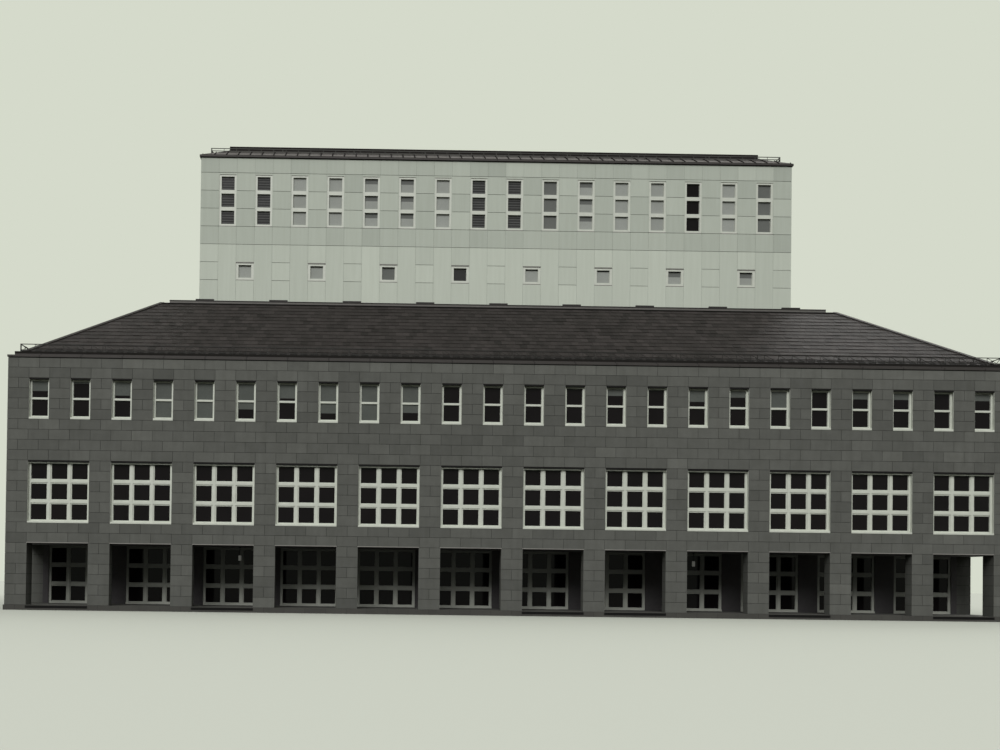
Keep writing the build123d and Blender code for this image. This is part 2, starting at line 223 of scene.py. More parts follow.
def add_loops(shape, place, loops, tone=0.5, closed=False):
    """Joins equal loops of points into a closed solid: a ring if closed, or else with end faces."""
    start = len(shape["points"])
    count = len(loops[0])
    for loop in loops:
        shape["points"].extend(place @ Vector(point) for point in loop)
    faces = []
    for step in range(len(loops) if closed else len(loops) - 1):
        near = start + step * count
        far = start + (step + 1) % len(loops) * count
        for corner in range(count):
            after = (corner + 1) % count
            faces.append((near + corner, near + after, far + after, far + corner))
    if not closed:
        faces.append(tuple(range(start + count - 1, start - 1, -1)))
        faces.append(tuple(range(start + (len(loops) - 1) * count, start + len(loops) * count)))
    shape["faces"].extend(faces)
    shape["tones"].extend([tone] * len(faces))


def rectangle(left, right, bottom, top, out):
    """A loop round a rectangle of a face, seen from outside."""
    return [(left, bottom, out), (right, bottom, out), (right, top, out), (left, top, out)]


def add_block(shape, place, left, right, bottom, top, back, front, edge=0.0, tone=0.5):
    """A box on a face, with its front edges bevelled by edge."""
    loops = [rectangle(left, right, bottom, top, back)]
    if edge:
        loops.append(rectangle(left, right, bottom, top, front - edge))
    loops.append(rectangle(left + edge, right - edge, bottom + edge, top - edge, front))
    add_loops(shape, place, loops, tone)


def make_piece(shape, name, material):
    """One object from a collected shape, riding on the building."""
    mesh = bpy.data.meshes.new(name)
    mesh.from_pydata(shape["points"], [], shape["faces"])
    mesh.attributes.new("tone", "FLOAT", "FACE").data.foreach_set("value", shape["tones"])
    mesh.materials.append(material)
    piece = bpy.data.objects.new(name, mesh)
    scene.collection.objects.link(piece)
    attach(piece, "root")


def spared(spans, gaps):
    """Spans with the gaps taken out of them."""
    for gap_start, gap_end in gaps:
        spans = [
            part
            for start, end in spans
            for part in ((start, min(end, gap_start)), (max(start, gap_end), end))
            if part[1] - part[0] > least_slab
        ]
    return spans


def drawn_tone(draw, mean, spread):
    """The tone of one slab, slate or panel, from nought for the darkest to one."""
    return min(1.0, max(0.0, draw.gauss(mean, spread)))


def by_piece(tree, darker, lighter):
    """A tone between two for each slab, slate, panel or sheet, as it was drawn."""
    tone = add_node(tree, "ShaderNodeAttribute", attribute_name="tone")["Fac"]
    tones = {0: tone, 6: linear(darker), 7: linear(lighter)}
    return add_node(tree, "ShaderNodeMix", tones, data_type="RGBA")[2]


def weathered(tree, colour, dulled, **cloud):
    """The colour, dulled by up to this grey in clouds or runs, spread by a noise with these inputs."""
    layers = {0: 1.0, 6: colour, 7: clouded(tree, dulled, "#FFFFFF", **cloud)}
    return add_node(tree, "ShaderNodeMix", layers, data_type="RGBA", blend_type="MULTIPLY")[2]


def outer_face(tree, place, reach_x, reach_y):
    """One on the outside faces of a block this large, and nought elsewhere."""
    where = add_node(tree, "ShaderNodeSeparateXYZ", {"Vector": place})
    masks = {}
    for number, (axis, reach) in enumerate((("X", reach_x), ("Y", reach_y))):
        size = add_node(tree, "ShaderNodeMath", {0: where[axis]}, operation="ABSOLUTE")["Value"]
        limit = {0: size, 1: reach - face_margin}
        masks[number] = add_node(tree, "ShaderNodeMath", limit, operation="GREATER_THAN")["Value"]
    return add_node(tree, "ShaderNodeMath", masks, operation="MAXIMUM")["Value"]


def level_lines(tree, place, foot, pitch, width):
    """One on level lines at this pitch above the foot, and nought between them."""
    share = add_node(tree, "ShaderNodeSeparateXYZ", {"Vector": place})["Z"]
    steps = {"SUBTRACT": foot, "DIVIDE": pitch, "FRACT": 0.0, "LESS_THAN": width / pitch}
    for operation, value in steps.items():
        share = add_node(tree, "ShaderNodeMath", {0: share, 1: value}, operation=operation)["Value"]
    return share


def low_openings(modules):
    """Arcade, large window and small windows of each bay, as (left, right, bottom, top) in modules."""
    openings = []
    for left in range(1, modules - 1, 4):
        openings += [(left, left + 3, 0, 3), (left, left + 3, 4, 7)]
        openings += [(left, left + 1, 9, 11), (left + 2, left + 3, 9, 11)]
    return openings


half_length, half_depth = wall_high.x, -wall_low.y
low_sides = block_sides(half_length, half_depth)
wall_modules_up = 12
slab_thickness = 0.008
slab_joint = 0.006
slab_edge = 0.0015
slab_uneven = 0.001
opening_lap = 0.009
least_slab = 0.01
face_margin = 0.001
air_gap = 0.019
top_course_tone = 0.75
stone_draw = random.Random(11)


def sandstone(name, hung):
    """Sawn stone: matt and clouded, grained like fine sand, with faint streaks where rain runs down."""
    material, tree, place = new_material(name)
    tones = ("#4F504C", "#666762")
    colour = by_piece(tree, *tones) if hung else clouded(tree, *tones, Vector=place, Scale=0.9)
    # Clouds lie about 250 mm apart, and runs 110 mm apart.
    colour = weathered(tree, colour, "#D2D2D0", Vector=place, Scale=4.0, Detail=6.0, Roughness=0.65)
    runs = add_node(tree, "ShaderNodeMapping", {"Vector": place, "Scale": (9.0, 9.0, 0.7)})["Vector"]
    colour = weathered(tree, colour, "#E2E2DF", Vector=runs, Scale=1.0, Detail=3.0)
    if not hung:
        # The masonry is in shadow behind the slabs, and where it is bare its beds are.
        outside = outer_face(tree, place, half_length, half_depth)
        beds = level_lines(tree, place, floor_level, module / 2, slab_joint)
        joint = add_node(tree, "ShaderNodeMath", {0: outside, 1: beds}, operation="MAXIMUM")["Value"]
        ends = {0: joint, 6: colour, 7: linear("#1D1D1B")}
        colour = add_node(tree, "ShaderNodeMix", ends, data_type="RGBA")[2]
    # Sand grains of half a millimetre are drawn as grains of about 6 mm.
    relief = grained(tree, 0.3, 0.002, Vector=place, Scale=160.0, Detail=2.0)
    matt = {"Roughness": 0.9, "Specular IOR Level": 0.3}
    finish_material(tree, {"Base Color": colour, "Normal": relief, **matt})
    return material


hung_stone = sandstone("sawn_sandstone_slabs", hung=True)
back_stone = sandstone("sandstone_behind_slabs", hung=False)
dress(back_stone, *(f"{side}_wall" for side in low_sides))
dress(back_stone, "front_arcade_piers", "back_arcade_piers", "side_piers")

for side, (place, half_run) in low_sides.items():
    modules = round(2 * half_run / module)
    openings = low_openings(modules)
    corner_lap = slab_thickness if side in ("front", "back") else 0.0
    slabs = new_shape()
    for row in range(2 * wall_modules_up):
        top = wall_modules_up - row / 2
        gaps = [(left, right) for left, right, low, high in openings if low < top <= high]
        shift = 0.0 if row % 2 else 0.5
        joints = sorted({0.0, float(modules)} | {shift + step for step in range(modules)})
        for start, end in zip(joints, joints[1:]):
            for left, right in spared([(start, end)], gaps):
                tone = drawn_tone(stone_draw, 0.5 if row else top_course_tone, 0.15)
                inset_left = slab_joint / 2 if left > 0 else -corner_lap
                inset_right = slab_joint / 2 if right < modules else -corner_lap
                if left in {gap_end for _, gap_end in gaps}:
                    inset_left = -opening_lap
                if right in {gap_start for gap_start, _ in gaps}:
                    inset_right = -opening_lap
                add_block(
                    slabs,
                    place,
                    left * module - half_run + inset_left,
                    right * module - half_run - inset_right,
                    floor_level + (top - 0.5) * module + slab_joint / 2,
                    floor_level + top * module - (slab_joint / 2 if row else air_gap),
                    0.0,
                    slab_thickness - stone_draw.uniform(0.0, slab_uneven),
                    slab_edge,
                    tone,
                )
    make_piece(slabs, f"{side}_stone_slabs", hung_stone)


# Recessed walls and ceilings of the arcades: rendered masonry and boards, painted a dull dark grey.
# They lie in the shade of the arcade all day, and their grey is darkened further as painted shade.
shaded_render_coat, tree, place = new_material("shade_darkened_render")
# The float leaves swirls of about 100 mm, and a grain of 1 mm that is drawn at 15 mm.
tint = clouded(tree, "#312F30", "#3E3B3C", Vector=place, Scale=9.0, Detail=4.0)
relief = grained(tree, 0.3, 0.003, Vector=place, Scale=65.0, Detail=2.0)
finish_material(tree, {"Base Color": tint, "Roughness": 0.85, "Normal": relief})
dress(shaded_render_coat, "front_recess_piers", "back_recess_piers", "recess_lintels", "arcade_ceilings")


# Floors: cast concrete slabs that bear on the walls, hidden from the street by dark glass.
# They are levelled with a screed, in which the trowel leaves marks about 300 mm apart.
screed, tree, place = new_material("levelled_screed")
tint = clouded(tree, "#8B8A84", "#A3A29B", Vector=place, Scale=3.0, Detail=5.0)
finish_material(tree, {"Base Color": tint, "Roughness": 0.7})
dress(screed, "first_floor", "second_floor", "attic_floor", "upper_first_floor", "upper_second_floor")


# Nine-light windows: white enamelled steel, with casements set back a little from the bars between.
# Each light has its own beads, and the same window fills the large openings and the ground floor.
def centred(along, width):
    """Both ends of a strip this wide that has its middle at along."""
    return along - width / 2, along + width / 2


def add_ring(shape, place, left, right, bottom, top, section):
    """A frame with mitred corners from a section of (distance in, distance out)."""
    loops = [
        rectangle(left + inset, right - inset, bottom + inset, top - inset, out) for inset, out in section
    ]
    add_loops(shape, place, loops, closed=True)


def add_beads(shape, place, left, right, bottom, top, pane):
    """Beads round one light, whose pane has its face here."""
    section = [(0, pane), (0, pane + bead_depth), (bead_width, pane)]
    add_ring(shape, place, left, right, bottom, top, section)


def add_lining(shape, place, left, right, bottom, top):
    """White sheet on both jambs of an opening, from the frame out to the backs of the slabs."""
    add_block(shape, place, left, left + lining_thickness, bottom, top, ring_face, 0.0)
    add_block(shape, place, right - lining_thickness, right, bottom, top, ring_face, 0.0)


def add_sill(shape, place, left, right, foot, top, back, drip, edge):
    """A folded steel sill: its bed in the opening, and its nose before the slabs, lower by the drip."""
    add_block(shape, place, left, right, foot, top, back, 0.0)
    left, right = left + opening_lap, right - opening_lap
    add_block(shape, place, left, right, foot - drip, top, 0.0, sill_front, edge)


def add_nine_lights(shape, place, left, bottom, setback):
    """Bars and beads of one window, whose opening starts at left and bottom."""
    place = place @ Matrix.Translation((left + 1.5 * module, bottom + 1.5 * module, -setback))
    pitch = light_size + cross_width
    half = window_clear / 2
    layers = ((cross_width, pane_face, casement_face), (bar_width, casement_face, ring_face))
    for across in (-pitch / 2, pitch / 2):
        for width, back, front in layers:
            span = centred(across, width)
            near, far = (pitch - width) / 2, (pitch + width) / 2
            add_block(shape, place, *span, -half, half, back, front)
            for start, end in ((-half, -far), (-near, near), (far, half)):
                add_block(shape, place, start, end, *span, back, front)
    for column in (-pitch, 0, pitch):
        for row in (-pitch, 0, pitch):
            light = (*centred(column, light_size), *centred(row, light_size))
            add_beads(shape, place, *light, pane_face)


def bay_starts(half_run):
    """Where the opening of each bay of a side starts."""
    bays = round((2 * half_run / module - 1) / 4)
    return [(1 + 4 * bay) * module - half_run for bay in range(bays)]


def enamelled_steel(name, dusty, clean, shaded_from=None):
    """Brushed enamel: satin, greyer where dust and rain have lain, and darkened above a height as painted
    shade if given.
    """
    material, tree, place = new_material(name)
    # Dust lies in clouds of 140 mm. Brush marks of a millimetre are drawn at 11 mm.
    tint = clouded(tree, dusty, clean, Vector=place, Scale=7.0, Detail=5.0)
    if shaded_from:
        height = add_node(tree, "ShaderNodeSeparateXYZ", {"Vector": place})["Z"]
        reach = {"Value": height, "From Min": shaded_from, "From Max": shaded_from + shade_reach}
        shade_share = add_node(tree, "ShaderNodeMapRange", reach)["Result"]
        # The dark grey towards the ceilings is painted shade.
        ends = {0: shade_share, 6: tint, 7: linear("#565752")}
        tint = add_node(tree, "ShaderNodeMix", ends, data_type="RGBA")[2]
    relief = grained(tree, 0.1, 0.001, Vector=place, Scale=90.0, Detail=2.0)
    finish_material(tree, {"Base Color": tint, "Roughness": 0.45, "Normal": relief})
    return material


shade_reach = 1.4 * module
shade_foot = floor_level + 0.5 * module
enamel = enamelled_steel("white_enamelled_steel", "#A4A89C", "#B9BCB1")
# The frames of the walks are darker than the white enamel as painted shade of the arcade, and darken
# further towards the ceilings as painted shade under them.
shaded_enamel = enamelled_steel("shaded_enamelled_steel", "#96988F", "#A9ABA1", shade_foot)
dress(enamel, *(f"{side}_window_frames" for side in low_sides))
dress(shaded_enamel, "arcade_window_frames")

# Black steel for the lamp rods. As the strips at the window heads it is painted shade for the shadow
# under the lintels, and on the gratings it is partly so.
black_steel_and_shade, tree, place = new_material("black_steel_and_painted_shade")
# The paint chalks in clouds of 170 mm, with hardly any shine left.
tint = clouded(tree, "#0E0D0D", "#181716", Vector=place, Scale=6.0, Detail=3.0)
finish_material(tree, {"Base Color": tint, "Roughness": 0.7, "Specular IOR Level": 0.1})

bead_width = 0.006
bead_depth = 0.010
light_size = 0.74 * module + 2 * bead_width
ring_width = 0.058
window_clear = 3 * module - 2 * ring_width
cross_width = (window_clear - 3 * light_size) / 2
bar_width = 0.05
ring_face = -0.068
casement_face = ring_face - 0.012
pane_face = -0.096
lining_thickness = 0.013
head_strip = 0.075 * module
head_front = slab_thickness - 0.003
head_trim_face = -0.025
large_sill = 0.055 * module
large_sill_edge = 0.003
sill_drip = 0.03 * module
sill_front = slab_thickness + 0.004

for side, (place, half_run) in low_sides.items():
    bars, strips = new_shape(), new_shape()
    starts = bay_starts(half_run)
    for left in starts:
        right = left + 3 * module
        feet = [floor_level + 4 * module]
        if side in ("left", "right") and left not in (starts[0], starts[-1]):
            feet.append(floor_level)
        for foot in feet:
            top = foot + 3 * module
            add_nine_lights(bars, place, left, foot, 0.0)
            add_lining(bars, place, left, right, foot, top)
            drip = sill_drip if foot > floor_level else 0.0
            add_sill(bars, place, left, right, foot, foot + large_sill, ring_face, drip, large_sill_edge)
            # The black strip at the head is painted shade, for the shadow under the lintel.
            add_block(strips, place, left, right, top - head_strip, top, ring_face, head_front)
            trim_left, trim_right = left + lining_thickness, right - lining_thickness
            trim_low, trim_high = top - ring_width, top - head_strip
            add_block(bars, place, trim_left, trim_right, trim_low, trim_high, ring_face, head_trim_face)
    make_piece(bars, f"{side}_nine_light_bars", enamel)
    make_piece(strips, f"{side}_large_window_heads", black_steel_and_shade)


# Arcade windows: the same nine lights, on a low sill in some bays and on the floor in the others.
# Before the others a steel grating is fixed to the plinth's riser, and air comes in under the floor.
# Its black is partly painted shade, for the dark gap at the foot of these bays.
recess_depth = -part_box("front_recess_piers")[0].y
recess_ring_setback = 0.020
walk_sides = block_sides(half_length, recess_depth)
riser_sides = block_sides(half_length, -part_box("ground_floor")[0].y)
arcade_sill_bays = (1, 3, 4, 5, 8, 10)
arcade_sill_height = 0.045
arcade_sill_out = 0.02
arcade_sill_edge = 0.004
grating_below = 0.012
grating_height = 0.055
grating_back, grating_front = 0.002, 0.006
grating_slats = 4
grating_slat = 0.004

for side in ("front", "back"):
    place, half_run = walk_sides[side]
    riser = riser_sides[side][0]
    bars, gratings = new_shape(), new_shape()
    for bay, left in enumerate(bay_starts(half_run)):
        right = left + 3 * module
        add_nine_lights(bars, place, left, floor_level, recess_ring_setback + ring_face)
        if bay in arcade_sill_bays:
            sill = (floor_level, floor_level + arcade_sill_height, -arcade_sill_out, arcade_sill_out)
            add_block(bars, place, left, right, *sill, arcade_sill_edge)
            continue
        top = floor_level - grating_below
        add_block(gratings, riser, left, right, top - grating_height, top, 0.0, grating_back)
        for slat in range(grating_slats):
            middle = top - grating_height + (slat + 0.5) * grating_height / grating_slats
            span = centred(middle, grating_slat)
            add_block(gratings, riser, left, right, *span, grating_back, grating_front)
    make_piece(bars, f"{side}_arcade_bars", shaded_enamel)
    make_piece(gratings, f"{side}_plinth_gratings", black_steel_and_shade)


# Small windows: two lights one above the other in white enamelled steel, and a folded metal sill.
# They stand between the slabs under a black strip, which is painted shade for the shadow under the
# lintel, and a white head, and their sill throws rain off the wall.
small_ring = 0.125 * module - bead_width
small_head = 0.12 * module
small_head_strip = 0.065 * module
small_bar = 0.12 * module - 2 * bead_width
small_sill = 0.10 * module
small_sill_edge = 0.004
small_foot_rail = 0.07 * module
small_foot = floor_level + 9 * module
small_top = small_foot + 2 * module
light_low = small_foot + small_sill + small_foot_rail
light_high = small_top - small_head - bead_width
light_height = (light_high - light_low - small_bar) / 2
lower_light = (light_low, light_low + light_height)
upper_light = (light_high - light_height, light_high)

for side, (place, half_run) in low_sides.items():
    joinery, strips = new_shape(), new_shape()
    for left_module in range(1, round(2 * half_run / module) - 1, 2):
        left = left_module * module - half_run
        right = left + module
        inner_left, inner_right = left + small_ring, right - small_ring
        sill_top = small_foot + small_sill
        strip_low = small_top - small_head_strip
        for jamb in ((left, inner_left), (inner_right, right)):
            add_block(joinery, place, *jamb, sill_top, small_top, pane_face, ring_face)
        for rail in ((sill_top, light_low), (lower_light[1], upper_light[0]), (light_high, strip_low)):
            add_block(joinery, place, inner_left, inner_right, *rail, pane_face, ring_face)
        for light in (lower_light, upper_light):
            add_beads(joinery, place, inner_left, inner_right, *light, pane_face)
        add_lining(joinery, place, left, right, sill_top, small_top)
        add_sill(joinery, place, left, right, small_foot, sill_top, pane_face, 0.0, small_sill_edge)
        add_block(strips, place, left, right, strip_low, small_top, pane_face, head_front)
    make_piece(joinery, f"{side}_small_windows", enamel)
    make_piece(strips, f"{side}_small_window_heads", black_steel_and_shade)


# Panes: float glass, held behind the beads, and near black because the rooms behind it are unlit.
# It is hard and even, and what shows of the rooms changes only over about half a metre.
glass, tree, place = new_material("dark_float_glass")
tint = clouded(tree, "#0D0B0C", "#181516", Vector=place, Scale=1.7, Detail=3.0)
finish_material(tree, {"Base Color": tint, "Roughness": 0.04, "Specular IOR Level": 0.08})
dress(glass, *(f"{side}_window_panes" for side in low_sides))
dress(glass, "arcade_window_panes", "upper_window_panes")


# Lamps of the arcade walks: opal glass cylinders on thin black rods, two on each long side.
# They burn faintly by day.
opal, tree, place = new_material("opal_lamp_glass")
# The milk in the glass is a little uneven over some 90 mm, and its fired skin is half glossy.
tint = clouded(tree, "#A2A29A", "#B8B8B0", Vector=place, Scale=11.0, Detail=2.0)
glow = {"Emission Color": tint, "Emission Strength": 0.13}
finish_material(tree, {"Base Color": tint, "Roughness": 0.25, **glow})


def add_turned(shape, place, along, out, section, sides):
    """A turned solid on an upright axis, from a section of (height, radius)."""
    turns = [2 * pi * step / sides for step in range(sides)]
    loops = [
        [(along + radius * sin(turn), height, out + radius * cos(turn)) for turn in turns]
        for height, radius in section
    ]
    add_loops(shape, place, loops)


walk_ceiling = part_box("arcade_ceilings")[0].z
pendant_modules = (10.95, 34.35)
pendant_out = 0.25
pendant_radius = 0.034
pendant_neck = 0.8 * pendant_radius
pendant_shoulder = 0.01
pendant_low, pendant_high = floor_level + 2.31 * module, floor_level + 2.58 * module
pendant_section = [(pendant_low, pendant_neck), (pendant_low + pendant_shoulder, pendant_radius)]
pendant_section += [(pendant_high - pendant_shoulder, pendant_radius), (pendant_high, pendant_neck)]
rod_radius = 0.006
rose_low = walk_ceiling - 0.012
rod_section = [(pendant_high, rod_radius), (rose_low, rod_radius)]
rose_section = [(rose_low, 0.6 * pendant_radius), (walk_ceiling, pendant_radius)]

for side in ("front", "back"):
    place, half_run = walk_sides[side]
    glasses, rods = new_shape(), new_shape()
    for modules_along in pendant_modules:
        along = modules_along * module - half_run
        add_turned(glasses, place, along, pendant_out, pendant_section, 24)
        add_turned(rods, place, along, pendant_out, rod_section, 12)
        add_turned(rods, place, along, pendant_out, rose_section, 24)
    make_piece(glasses, f"{side}_walk_lamps", opal)
    make_piece(rods, f"{side}_walk_lamp_rods", black_steel_and_shade)


# Blinds: fabric roller blinds and slatted ones, drawn by the readers as the light moves round.
# They hang close behind the glass, and are set on its face here, under a gloss like its own.
def behind_glass(name, darker, lighter, weave_scale):
    """Woven or slatted blind seen through float glass: a soft weave under a hard even shine."""
    material, tree, place = new_material(name)
    # Threads of half a millimetre are drawn as a weave of some 20 mm, and folds lie 450 mm apart.
    patterns = {}
    for number, scale in enumerate((weave_scale, 2.2)):
        noise = {"Vector": place, "Scale": scale, "Detail": 2.0}
        patterns[number] = add_node(tree, "ShaderNodeTexNoise", noise)["Fac"]
    both = add_node(tree, "ShaderNodeMath", patterns, operation="MULTIPLY")["Value"]
    share = add_node(tree, "ShaderNodeMapRange", {"Value": both, "From Min": 0.1, "From Max": 0.45})
    tones = {0: share["Result"], 6: linear(darker), 7: linear(lighter)}
    tint = add_node(tree, "ShaderNodeMix", tones, data_type="RGBA")[2]
    finish_material(tree, {"Base Color": tint, "Roughness": 0.12, "Specular IOR Level": 0.13})
    return material


roller_cloth = behind_glass("roller_blind_cloth", "#474A46", "#525551", 45.0)
blind_back = 0.0005
blind_front = 0.0025
blind_odds = 0.3
blind_shares = (0.4, 0.7, 1.0)
blind_draw = random.Random(5)
# Shares of the upper and the lower light that are covered, from the front's left end.
small_drawn = [(0.6, 0.0), (0.1, 0.0), (0.82, 0.0), (1.0, 1.0), (1.0, 1.0), (1.0, 0.42), (0.85, 0.0)]
small_drawn += [(1.0, 0.6), (1.0, 1.0), (1.0, 0.5)] + 4 * [(0.0, 0.0)]

for side, (place, half_run) in low_sides.items():
    blinds = new_shape()
    for number, left_module in enumerate(range(1, round(2 * half_run / module) - 1, 2)):
        drawn = blind_draw.random() < blind_odds
        shares = (blind_draw.choice(blind_shares) if drawn else 0.0, 0.0)
        if side == "front" and number < len(small_drawn):
            shares = small_drawn[number]
        left = left_module * module - half_run + small_ring + bead_width
        right = left + module - 2 * (small_ring + bead_width)
        for share, (low, high) in zip(shares, (upper_light, lower_light)):
            low, high = low + bead_width, high - bead_width
            end = high - share * (high - low)
            if share:
                faces = (pane_face + blind_back, pane_face + blind_front)
                add_block(blinds, place, left, right, end, high, *faces)
    make_piece(blinds, f"{side}_small_blinds", roller_cloth)


# Eaves of the low roof: a folded zinc fascia, and a raised box gutter behind it on the wall head.
# Both are made in lengths of two modules, joined by cover straps, and a near-black strip is folded over
# the outer edge of the gutter as painted shade, for the shadow line between the fascia and the slates.
def sheet_zinc(name, darker, lighter, roughness, polish=1.0, lapped=False):
    """Rolled zinc left to weather: a dull bloom, soft dents, and dark laps up a hip if lapped."""
    material, tree, place = new_material(name)
    # The bloom changes over 200 mm, and the dents over 330 mm.
    tint = clouded(tree, darker, lighter, Vector=place, Scale=5.0, Detail=6.0, Roughness=0.7)
    if lapped:
        lap = level_lines(tree, place, 0.0, lap_rise, lap_shadow)
        ends = {0: lap, 6: tint, 7: linear("#0E0D0C")}
        tint = add_node(tree, "ShaderNodeMix", ends, data_type="RGBA")[2]
    relief = grained(tree, 0.3, 0.01, Vector=place, Scale=3.0, Detail=1.0)
    dull = {"Metallic": 0.15 * polish, "Roughness": roughness, "Specular IOR Level": 0.2 * polish}
    finish_material(tree, {"Base Color": tint, "Normal": relief, **dull})
    return material


lap_rise = 0.29
lap_shadow = 0.005
zinc = sheet_zinc("weathered_zinc_sheet", "#1D1B1A", "#292625", 0.6)
shade_edge_zinc = sheet_zinc("shade_dark_edge_sheet", "#151412", "#1F1D1B", 0.8, 0.4)
fascia_zinc = sheet_zinc("fascia_zinc_sheet", "#2C2927", "#393634", 0.55)
dress(fascia_zinc, "low_eaves")
dress(zinc, "roof_decks")
dress(sheet_zinc("lapped_zinc_sheet", "#242120", "#312E2D", 0.6, lapped=True), "hip_caps")

eaves_low, eaves_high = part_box("low_eaves")
fascia_out = -eaves_low.y - half_depth
fascia_top = eaves_low.z + 0.045
gutter_in = 0.100
gutter_run = 0.115
gutter_back = -gutter_in - gutter_run
strap_width = 0.03
strap_thickness = 0.003
strap_front = fascia_out + strap_thickness
plate_front = fascia_out + strap_thickness / 2
plate_gap = 0.004
sheet_edge = 0.001
edge_low = eaves_high.z - 0.048
edge_front = -gutter_in + strap_thickness

for side, (place, half_run) in low_sides.items():
    straps, plates, edges = new_shape(), new_shape(), new_shape()
    joints = [(step + 0.5) * module - half_run for step in range(1, round(2 * half_run / module), 2)]
    ends = [-half_run - fascia_out, *joints, half_run + fascia_out]
    low, high = eaves_low.z + plate_gap, fascia_top - plate_gap
    for left, right in zip(ends, ends[1:]):
        add_block(plates, place, left + plate_gap, right - plate_gap, low, high, fascia_out, plate_front)
    make_piece(plates, f"{side}_fascia_plates", fascia_zinc)
    edge_half = half_run - gutter_in
    # The near-black edge strip is painted shade.
    edge = (edge_low, eaves_high.z, -gutter_in, edge_front, sheet_edge)
    add_block(edges, place, -edge_half, edge_half, *edge)
    make_piece(edges, f"{side}_gutter_edge", shade_edge_zinc)
    for along in joints:
        span = centred(along, strap_width)
        add_block(straps, place, *span, eaves_low.z, fascia_top, fascia_out, strap_front, sheet_edge)
        add_block(straps, place, *span, fascia_top, edge_low, -gutter_in, edge_front, sheet_edge)
        strap_top = eaves_high.z + strap_thickness
        add_block(straps, place, *span, eaves_high.z, strap_top, gutter_back, -gutter_in)
    make_piece(straps, f"{side}_gutter_straps", zinc)


# Drips of the arcade lintels: a paler zinc strip folded under the lowest slabs of each lintel.
# Rain that runs down the stone leaves the wall there.
drip_zinc = sheet_zinc("pale_zinc_strip_sheet", "#6E6C68", "#82807B", 0.5)
drip_height = 0.016
drip_front = slab_thickness + 0.003

for side, (place, half_run) in low_sides.items():
    drips = new_shape()
    foot = floor_level + 3 * module
    drip = (foot, foot + drip_height, 0.0, drip_front, sheet_edge)
    for left in bay_starts(half_run):
        add_block(drips, place, left, left + 3 * module, *drip)
    make_piece(drips, f"{side}_lintel_drips", drip_zinc)


# Slated slopes: split grey-brown slates in fifteen even courses, each tilted over the one below.
# Those at the hips are cut to the line of the hip. Tarred boards carry them, and show at the top.
# They show below the first course too, where strips of slate lie on them half a module apart.
def slope_place(place, foot_in, foot_height, run, rise):
    """From (along, up the slope, off it) to the building's frame, and the slope's length."""
    length = hypot(run, rise)
    climb, level = rise / length, run / length
    rows = ((1, 0, 0, 0), (0, climb, level, foot_height), (0, -level, climb, -foot_in), (0, 0, 0, 1))
    return place @ Matrix(rows), length, level


def hip_cut(outline, level, reach):
    """An outline of (along, up the slope) cut to both hips, which start at reach and lean inward."""
    for sign in (-1, 1):
        kept = []
        for (near_along, near_up), (far_along, far_up) in zip(outline, outline[1:] + outline[:1]):
            near = sign * near_along + level * near_up - reach
            far = sign * far_along + level * far_up - reach
            if near <= 0:
                kept.append((near_along, near_up))
            if near * far < 0:
                part = near / (near - far)
                cut_along = near_along + part * (far_along - near_along)
                kept.append((cut_along, near_up + part * (far_up - near_up)))
        outline = kept
    return outline


slate, tree, place = new_material("split_slate")
# Splitting leaves shallow ledges some 30 mm long, a dull sheen, and colours that change by the slate.
tint = by_piece(tree, "#1A1716", "#2F2B2A")
tint = weathered(tree, tint, "#D8D5D1", Vector=place, Scale=1.6, Detail=5.0)
relief = grained(tree, 0.5, 0.004, Vector=place, Scale=28.0, Detail=4.0, Distortion=0.6)
sheen = {"Roughness": 0.66, "Specular IOR Level": 0.12}
finish_material(tree, {"Base Color": tint, "Normal": relief, **sheen})

boarding_and_shade, tree, place = new_material("tarred_boarding_and_painted_shade")
# Tar has run and thickened in patches of 80 mm, and dries without a shine.
# Where the boards show, below the first course and at the top of the slope, their near-black is partly
# painted shade, for the shadow under the slates.
tint = clouded(tree, "#0D0C0B", "#171514", Vector=place, Scale=12.0, Detail=3.0)
finish_material(tree, {"Base Color": tint, "Roughness": 0.8, "Specular IOR Level": 0.1})
dress(boarding_and_shade, *(f"{side}_roof_slope" for side in low_sides))

slope_low, slope_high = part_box("front_roof_slope")
slope_in = half_depth + slope_low.y
slope_run = slope_high.y - slope_low.y
slope_rise = slope_high.z - eaves_high.z
slate_courses = 15
slate_width = 0.16
slate_gap = 0.003
slate_butt = 0.009
slate_head = 0.002
slate_slip = 0.004
slate_skew = 0.001
slate_swell = (-0.002, 0.003)
hip_clearance = 0.02
first_gap = 0.165
hook_width = 0.07
ridge_width = 0.045
ridge_proud = 0.022
ridge_edge = 0.002
slate_draw = random.Random(3)

